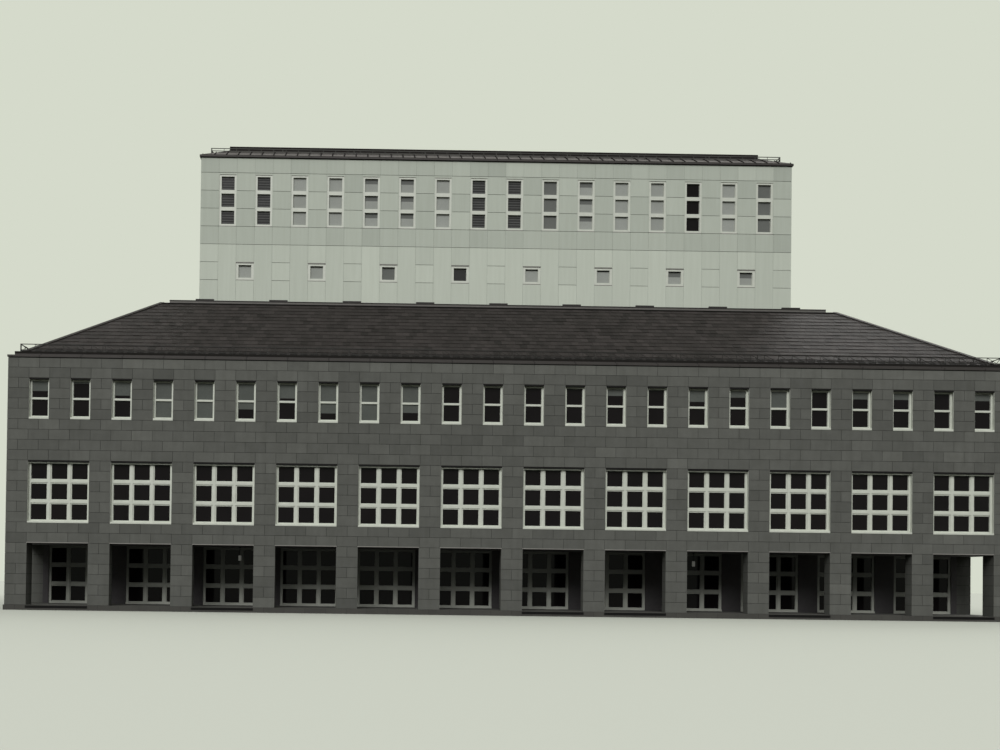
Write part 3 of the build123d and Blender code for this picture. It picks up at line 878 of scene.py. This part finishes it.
for side, (side_face, half_run) in low_sides.items():
    place, slope_length, level = slope_place(side_face, slope_in, eaves_high.z, slope_run, slope_rise)
    slates, hooks, ridge = new_shape(), new_shape(), new_shape()
    course = slope_length / slate_courses
    hip_limit = half_run - slope_in - hip_clearance
    for step in range(2, 2 * round(2 * half_run / module) - 1):
        span = centred(step * module / 2 - half_run, hook_width)
        add_block(hooks, place, *span, 0.0, first_gap, 0.0, slate_butt / 2)
    make_piece(hooks, f"{side}_gutter_hooks", slate)
    # The dark strip at the top of the slope is painted shade along the foot of the upstand.
    top_half = hip_limit - slope_length * level
    ridge_span = (slope_length - ridge_width, slope_length)
    add_block(ridge, place, -top_half, top_half, *ridge_span, 0.0, ridge_proud, ridge_edge)
    make_piece(ridge, f"{side}_slope_ridge", boarding_and_shade)
    for row in range(slate_courses):
        reach = hip_limit - row * course * level
        count = int(2 * reach / slate_width) + 2
        for step in range(-count // 2 - 1, count // 2 + 2):
            left = (step + 0.5 * (row % 2)) * slate_width + slate_gap / 2
            right = left + slate_width - slate_gap
            low = (row * course if row else first_gap) + slate_draw.uniform(0.0, slate_slip)
            low_right = low + slate_draw.uniform(-slate_skew, slate_skew)
            high = (row + 1) * course
            butt = slate_butt + slate_draw.uniform(*slate_swell)
            tone = drawn_tone(slate_draw, 0.5, 0.22)
            outline = [(left, low), (right, low_right), (right, high), (left, high)]
            outline = hip_cut(outline, level, hip_limit)
            if len(outline) < 3:
                continue
            bottom = [(along, up, 0.0) for along, up in outline]
            fall = (slate_head - butt) / course
            face = [(along, up, butt + fall * (up - row * course)) for along, up in outline]
            add_loops(slates, place, [bottom, face], tone)
    make_piece(slates, f"{side}_slates", slate)


# Deck round the top block: zinc sheet with standing seams, behind an upstand that carries caps.
# The upstand is faced with a paler sheet, under a dark folded capping.
pale_zinc = sheet_zinc("pale_zinc_sheet", "#4A4845", "#5C5A56", 0.55)
deck_level = slope_high.z
upper_low, upper_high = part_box("upper_front_wall")
upper_half_length, upper_half_depth = upper_high.x, -upper_low.y
setback = half_depth - upper_half_depth
upstand_face = -2.970
upstand_inner = upstand_face - 0.040
upstand_top = deck_level + 0.135
upstand_proud = 0.006
capping_low, capping_edge = upstand_top - 0.026, 0.002
capping = (capping_low, upstand_top, upstand_face, upstand_face + upstand_proud, capping_edge)
# The pale facing stops short of the deck, and the dark zinc left showing below it is painted shade at the
# upstand's foot.
facing_low, facing_high = upstand_top - 0.090, upstand_top - 0.028
facing_span = (facing_low, facing_high, upstand_face, upstand_face + upstand_proud / 2, sheet_edge)
seam_width = 0.008
seam_top = deck_level + 0.018

for side, (place, half_run) in low_sides.items():
    deckwork, facing = new_shape(), new_shape()
    for step in range(1, round(2 * (half_run - setback) / module)):
        span = centred(step * module - (half_run - setback), seam_width)
        add_block(deckwork, place, *span, deck_level, seam_top, -setback, upstand_inner)
    outer_half = half_run + upstand_face + upstand_proud
    add_block(deckwork, place, -outer_half, outer_half, *capping)
    make_piece(deckwork, f"{side}_deck_seams", zinc)
    facing_half = outer_half - upstand_proud / 2
    add_block(facing, place, -facing_half, facing_half, *facing_span)
    make_piece(facing, f"{side}_upstand_facing", pale_zinc)


# Snow guards: galvanised flat bar, with close posts, and on the low roof a diagonal in every bay.
# The rails are the part's own, and carry posts and diagonals on their backs.
def galvanised_bar(name, darker, lighter):
    """Hot-dipped steel: crystals of about 10 mm, dulled by the weather."""
    material, tree, place = new_material(name)
    spangle = add_node(tree, "ShaderNodeTexVoronoi", {"Vector": place, "Scale": 90.0})["Distance"]
    tones = {0: spangle, 6: linear(darker), 7: linear(lighter)}
    tint = add_node(tree, "ShaderNodeMix", tones, data_type="RGBA")[2]
    dull = {"Metallic": 0.3, "Roughness": 0.6, "Specular IOR Level": 0.2}
    finish_material(tree, {"Base Color": tint, **dull})
    return material


lattice_pitch = 0.31
lattice_bar = 0.010
guard_bar = 0.016
rail_gap = 0.003


def make_lattices(block, sides, rails, outside, foot, material, crossed=True):
    """Posts, and if crossed falling diagonals between them, behind the rails on every side."""
    guard_in = outside + rails[0].y
    top = rails[1].z - guard_bar / 2
    front = -guard_in - rail_gap
    back = front - lattice_bar
    for side, (place, half_run) in sides.items():
        lattice = new_shape()
        corner_room = 0 if side in ("front", "back") else 2 * guard_bar
        half = half_run - guard_in - corner_room - guard_bar
        bays = round(2 * half / lattice_pitch)
        pitch = 2 * half / bays
        for step in range(bays):
            post = centred(step * pitch - half, lattice_bar)
            start, end = post[1], post[0] + pitch
            if step:
                add_block(lattice, place, *post, foot, top, back, front)
            if crossed:
                fall = [(start, top - lattice_bar), (end, foot), (end, foot + lattice_bar), (start, top)]
                add_loops(lattice, place, [[(*corner, out) for corner in fall] for out in (back, front)])
        make_piece(lattice, f"{block}{side}_guard_lattice", material)


# The low guards get a darker galvanised colour than the upper ones.
galvanised = galvanised_bar("dark_galvanised_steel", "#1F1E1D", "#302F2D")
bright_galvanised = galvanised_bar("pale_galvanised_steel", "#363633", "#464643")
dress(galvanised, "low_snow_guards")
dress(bright_galvanised, "upper_snow_guards")
make_lattices("", low_sides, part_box("low_snow_guards"), half_depth, eaves_high.z, galvanised)


# Panels of the top block: square sheets of pale fibre cement, hung on rails with open joints.
# Below the third row only the piers keep their panels, and the fields between them are tall sheets.
def fibre_cement(name, hung):
    """Pressed fibre cement: smooth and matt, a little uneven in tone, with faint upright rain marks."""
    material, tree, place = new_material(name)
    # Rain marks lie about 70 mm apart. Fibres of some millimetres are drawn at 8 mm.
    runs = add_node(tree, "ShaderNodeMapping", {"Vector": place, "Scale": (14.0, 14.0, 0.9)})["Vector"]
    colour = by_piece(tree, "#9AA095", "#B7BDB0")
    colour = weathered(tree, colour, "#EFEFED", Vector=runs, Scale=1.0, Detail=4.0)
    if not hung:
        outside = outer_face(tree, place, upper_half_length, upper_half_depth)
        ends = {0: outside, 6: colour, 7: linear("#4E514B")}
        colour = add_node(tree, "ShaderNodeMix", ends, data_type="RGBA")[2]
    relief = grained(tree, 0.12, 0.001, Vector=place, Scale=120.0, Detail=2.0)
    matt = {"Roughness": 0.7, "Specular IOR Level": 0.35}
    finish_material(tree, {"Base Color": colour, "Normal": relief, **matt})
    return material


def upper_fields(modules):
    """Panels of one side as (left, right, bottom, top) in modules, clear of its windows."""
    fields = []
    for top in (fascia_foot, 24, 23, 22, 21):
        bottom = 24 if top == fascia_foot else top - 1
        tall_row = 21 <= bottom < 24
        for left in range(modules):
            if not (tall_row and left % 2):
                fields.append((left, left + 1, bottom, top))
    for left in range(0, modules, 4):
        fields += [(left, left + 1, 19, 20), (left, left + 1, 18, 19), (left, left + 1, panel_foot, 18)]
    for left in range(1, modules - 1, 4):
        fields += [(left, left + 1, panel_foot, 20), (left + 2, left + 3, panel_foot, 20)]
        fields += [(left + 1, left + 2, 19, 20), (left + 1, left + 2, panel_foot, 18)]
    return fields


upper_sides = block_sides(upper_half_length, upper_half_depth)
hung_panel = fibre_cement("fibre_cement_panels", hung=True)
back_panel = fibre_cement("fibre_cement_behind_panels", hung=False)
dress(back_panel, *(f"upper_{side}_wall" for side in upper_sides))

panel_thickness = 0.006
panel_edge = 0.001
bed_joint = 0.010
upright_joint = 0.003
fascia_foot = (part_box("upper_eaves")[0].z - floor_level) / module
panel_foot = (deck_level - floor_level) / module
panel_air_gap = 0.02
panel_draw = random.Random(17)

for side, (place, half_run) in upper_sides.items():
    panels = new_shape()
    modules = round(2 * half_run / module)
    corner_lap = panel_thickness if side in ("front", "back") else 0.0
    for left, right, bottom, top in upper_fields(modules):
        add_block(
            panels,
            place,
            left * module - half_run + (-corner_lap if left == 0 else upright_joint / 2),
            right * module - half_run - (-corner_lap if right == modules else upright_joint / 2),
            floor_level + bottom * module + bed_joint / 2,
            floor_level + top * module - (panel_air_gap if top == fascia_foot else bed_joint / 2),
            0.0,
            panel_thickness,
            panel_edge,
            drawn_tone(panel_draw, 0.30 if bottom >= 20 else 0.70, 0.10),
        )
    make_piece(panels, f"upper_{side}_panels", hung_panel)


# Windows of the top block: white enamelled steel, almost flush with the panels, with beaded panes.
# The tall ones have three lights and the square ones a single light, and most have their blinds down.
upper_pane_face = -0.058
upper_ring_face = -0.010
upper_head_face = panel_thickness - 0.002
tall_gap = 0.03 * module
tall_head = 0.1 * module
tall_ring = 0.12 * module - bead_width
tall_bar = 0.23 * module - 2 * bead_width
tall_low = floor_level + 21 * module
tall_high = floor_level + 24 * module - tall_head
square_ring = 0.145 * module
square_head = 0.03 * module
square_low = floor_level + 18 * module
roller_pale = behind_glass("pale_roller_blind_cloth", "#848781", "#92958F", 45.0)
# A mid-grey cloth on the glass is painted reflection of the sky: it fills the upper share of lights of
# the kind most, and whole lights of the kind dim.
reflection_cloth = behind_glass("painted_sky_reflection", "#585A57", "#636561", 45.0)
slat_metal = behind_glass("slatted_blind_metal", "#494948", "#565655", 30.0)
slat_shade = behind_glass("slatted_blind_shade", "#2B2B2B", "#353535", 30.0)
tall_kinds = ["slats", "slats", "full", "full", "most", "most", "full"]
square_kinds = ["full", "full", "dim", "shade"]
dim_share = 0.36
slat_count = 5
slat_height = 0.024
slat_thickness = 0.001
upper_pieces = {
    "windows": (enamel, "white_window_frame"),
    "roller_blinds": (roller_pale, "window_glass"),
    "painted_reflections": (reflection_cloth, "window_glass"),
    "window_heads": (hung_panel, "pale_panels"),
    "window_strips": (drip_zinc, "roof_sheet_metal"),
    "slatted_blinds": (slat_metal, "window_glass"),
    "blind_shades": (slat_shade, "window_glass"),
}


def add_frame(shape, place, left, right, low, high, width):
    """The fixed frame round a window of the top block."""
    back, front = upper_pane_face, upper_ring_face
    section = [(0, back), (0, front), (width, front), (width, back)]
    add_ring(shape, place, left, right, low, high, section)


def add_light(shapes, place, left, right, low, high, kind):
    """Beads round one light of the top block, and the blind that shows in it."""
    add_beads(shapes["windows"], place, left, right, low, high, upper_pane_face)
    left, right, low, high = left + bead_width, right - bead_width, low + bead_width, high - bead_width
    back, front = upper_pane_face + blind_back, upper_pane_face + blind_front
    height = high - low
    dim_low = high - dim_share * height
    # In lights of the kind most, the upper share is painted reflection over a pale blind.
    covers = {
        "full": [("roller_blinds", low, high)],
        "dim": [("painted_reflections", low, high)],
        "most": [("roller_blinds", low, dim_low), ("painted_reflections", dim_low, high)],
        "slats": [("blind_shades", low, high)],
        "shade": [("blind_shades", low, high)],
        "none": [],
    }
    for name, cover_low, cover_high in covers[kind]:
        add_block(shapes[name], place, left, right, cover_low, cover_high, back, front)
    for slat in range(slat_count if kind == "slats" else 0):
        span = centred(low + (slat + 0.5) * height / slat_count, slat_height)
        add_block(shapes["slatted_blinds"], place, left, right, *span, front, front + slat_thickness)


for side, (place, half_run) in upper_sides.items():
    shapes = {name: new_shape() for name in upper_pieces}
    frames, heads, strips = shapes["windows"], shapes["window_heads"], shapes["window_strips"]
    modules = round(2 * half_run / module)
    for number, left_module in enumerate(range(1, modules - 1, 2)):
        kind = blind_draw.choice(("slats", "full", "most", "dim", "none"))
        if side == "front" and number < len(tall_kinds):
            kind = tall_kinds[number]
        start = left_module * module - half_run
        end = start + module
        left, right = start + tall_gap, end - tall_gap
        low, high = tall_low + square_head, tall_high
        # The strip under each tall window is darker than the panels, partly as painted shade under the
        # window.
        add_block(strips, place, left, right, tall_low, low, upper_pane_face, upper_head_face)
        add_frame(frames, place, left, right, low, high, tall_ring)
        head_top = high + tall_head - bed_joint / 2
        for span in ((start, end, high, head_top), (start, left, low, high), (right, end, low, high)):
            add_block(heads, place, *span, upper_pane_face, upper_head_face)
        left, right = left + tall_ring, right - tall_ring
        light_height = (high - low - 2 * tall_ring - 2 * tall_bar) / 3
        for step in range(3):
            light_low = low + tall_ring + step * (light_height + tall_bar)
            if step:
                bar = (light_low - tall_bar, light_low, upper_pane_face, upper_ring_face)
                add_block(frames, place, left, right, *bar)
            add_light(shapes, place, left, right, light_low, light_low + light_height, kind)
    for number, left_module in enumerate(range(2, modules - 1, 4)):
        kind = blind_draw.choice(("full", "most", "none"))
        if side == "front" and number < len(square_kinds):
            kind = square_kinds[number]
        left = left_module * module - half_run
        right = left + module
        low, high = square_low, square_low + module
        add_frame(frames, place, left, right, low, high, square_ring)
        # The strips at the square windows' foot and head are darker than the panels, partly as painted
        # shade.
        for strip_low in (low, high - square_head):
            strip_high = strip_low + square_head
            add_block(strips, place, left, right, strip_low, strip_high, upper_ring_face, upper_head_face)
        left, right, low = left + square_ring, right - square_ring, low + square_ring
        add_light(shapes, place, left, right, low, high - square_ring - 2 * square_head, kind)
    for name, (material, slot) in upper_pieces.items():
        if shapes[name]["points"]:
            make_piece(shapes[name], f"upper_{side}_{name}", material)


# Top roof: a zinc apron with standing seams over a dark fascia.
# The seams run up the slope at even steps and stop under the kerb's foot, and the pans between them
# are bright in the lower course and duller in the middle one.
# A dark zinc for the top roof's fascia, its seams, the kerb and the kerb straps.
dark_zinc = sheet_zinc("dark_zinc_sheet", "#1E1C1B", "#292625", 0.95, 0.1)
bright_zinc = sheet_zinc("bright_zinc_sheet", "#4C4A47", "#5F5C59", 0.9, 0.2)
dull_zinc = sheet_zinc("dull_zinc_sheet", "#33302E", "#42403D", 0.9, 0.2)
dress(dark_zinc, "upper_eaves")
apron_low, apron_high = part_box("upper_eaves")
roof_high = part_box("upper_roof")[1]
apron_out = -apron_low.y - upper_half_depth
apron_foot = apron_low.z + 0.051
apron_run = upper_half_length - roof_high.x + apron_out
apron_rise = apron_high.z - apron_foot
apron_pitch = 0.657 * module
apron_seam_width = 0.010
apron_seam = (0.0, 0.022, 0.002)
apron_top_gap = 0.02
pan_gap = 0.035
pan_thickness = 0.003
apron_courses = {"lower": (0.03, 0.46, bright_zinc), "middle": (0.53, 0.90, dull_zinc)}
upper_plate_front = apron_out + strap_thickness / 2
upper_plate = (apron_low.z + plate_gap, apron_foot - plate_gap, apron_out, upper_plate_front)

for side, (side_face, half_run) in upper_sides.items():
    plates, seams = new_shape(), new_shape()
    plate_steps = round(half_run / module / 2)
    plate_run = (half_run + apron_out) / plate_steps
    for step in range(-plate_steps, plate_steps):
        span = (step * plate_run + plate_gap, (step + 1) * plate_run - plate_gap)
        add_block(plates, side_face, *span, *upper_plate)
    make_piece(plates, f"upper_{side}_fascia_plates", fascia_zinc)
    place, apron_length, level = slope_place(side_face, -apron_out, apron_foot, apron_run, apron_rise)
    steps = int(half_run / apron_pitch)
    for step in range(-steps, steps + 1):
        along = step * apron_pitch
        reach = min(apron_length, (half_run + apron_out - abs(along)) / level) - apron_top_gap
        add_block(seams, place, *centred(along, apron_seam_width), 0.0, reach, *apron_seam)
    make_piece(seams, f"upper_{side}_apron_seams", dark_zinc)
    for course, (low_share, high_share, sheet) in apron_courses.items():
        pans = new_shape()
        low, high = low_share * apron_length, high_share * apron_length
        for step in range(-steps - 1, steps + 1):
            left = step * apron_pitch + pan_gap / 2
            right = left + apron_pitch - pan_gap
            outline = [(left, low), (right, low), (right, high), (left, high)]
            outline = hip_cut(outline, level, half_run + apron_out - 2 * pan_gap)
            loops = [[(*corner, out) for corner in outline] for out in (0.0, pan_thickness)]
            if len(outline) > 2:
                add_loops(pans, place, loops)
        make_piece(pans, f"upper_{side}_{course}_pans", sheet)


# Flat roof: sheets of mineral-faced bitumen membrane, a metre wide in real size, welded at the seams.
# It lies behind the kerb, whose zinc is dressed down its outside.
membrane, tree, place = new_material("bitumen_membrane")
# Mineral chips of one millimetre are drawn as a fleck of 10 mm, over puddles that dry 1.2 m apart.
fleck = add_node(tree, "ShaderNodeTexNoise", {"Vector": place, "Scale": 100.0, "Detail": 2.0})["Fac"]
pools = add_node(tree, "ShaderNodeTexNoise", {"Vector": place, "Scale": 0.8, "Detail": 4.0})["Fac"]
both = add_node(tree, "ShaderNodeMath", {0: fleck, 1: pools}, operation="MULTIPLY")["Value"]
tones = {0: both, 6: linear("#2A2928"), 7: linear("#454340")}
speckled = add_node(tree, "ShaderNodeMix", tones, data_type="RGBA")[2]
layers = {0: 1.0, 6: speckled, 7: by_piece(tree, "#D2D2D0", "#FFFFFF")}
tint = add_node(tree, "ShaderNodeMix", layers, data_type="RGBA", blend_type="MULTIPLY")[2]
relief = add_node(tree, "ShaderNodeBump", {"Height": fleck, "Strength": 0.3, "Distance": 0.002})["Normal"]
dusty = {"Roughness": 0.85, "Specular IOR Level": 0.15}
finish_material(tree, {"Base Color": tint, "Normal": relief, **dusty})
dress(dark_zinc, "upper_roof")

sheet_width = 0.5
sheet_seam = 0.006
sheet_thickness = 0.004
kerb_width = 0.11
kerb_height = 0.060
sheet_draw = random.Random(23)
reach_x, reach_y = roof_high.x - kerb_width, roof_high.y - kerb_width
sheets = new_shape()
flat = Matrix.Translation((0, 0, roof_high.z - kerb_height))
count = int(2 * reach_x / sheet_width) + 1
for step in range(count):
    left = step * 2 * reach_x / count - reach_x + sheet_seam / 2
    right = left + 2 * reach_x / count - sheet_seam
    bottom = rectangle(left, right, -reach_y, reach_y, 0.0)
    # Each sheet thins to half towards its left seam, where the next one laps over it.
    top = [(x, y, sheet_thickness if x > left else sheet_thickness / 2) for x, y, _ in bottom]
    add_loops(sheets, flat, [bottom, top], sheet_draw.random())
make_piece(sheets, "upper_roof_membrane_sheets", membrane)


# Kerb straps: folded zinc over the joints of the kerb's sheets, hooked under its top and foot.
# The upper snow guards stand before them, lighter than the low ones and without diagonals.
kerb_straps = new_shape()
for place, half_run in block_sides(roof_high.x, roof_high.y).values():
    kerb_steps = round(half_run / module)
    for step in range(1 - kerb_steps, kerb_steps, 2):
        span = (*centred(step * half_run / kerb_steps, strap_width), apron_high.z, roof_high.z)
        add_block(kerb_straps, place, *span, 0.0, strap_thickness, sheet_edge)
make_piece(kerb_straps, "kerb_straps", dark_zinc)

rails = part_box("upper_snow_guards")
make_lattices(
    "upper_", upper_sides, rails, upper_half_depth, rails[0].z, bright_galvanised, crossed=False
)
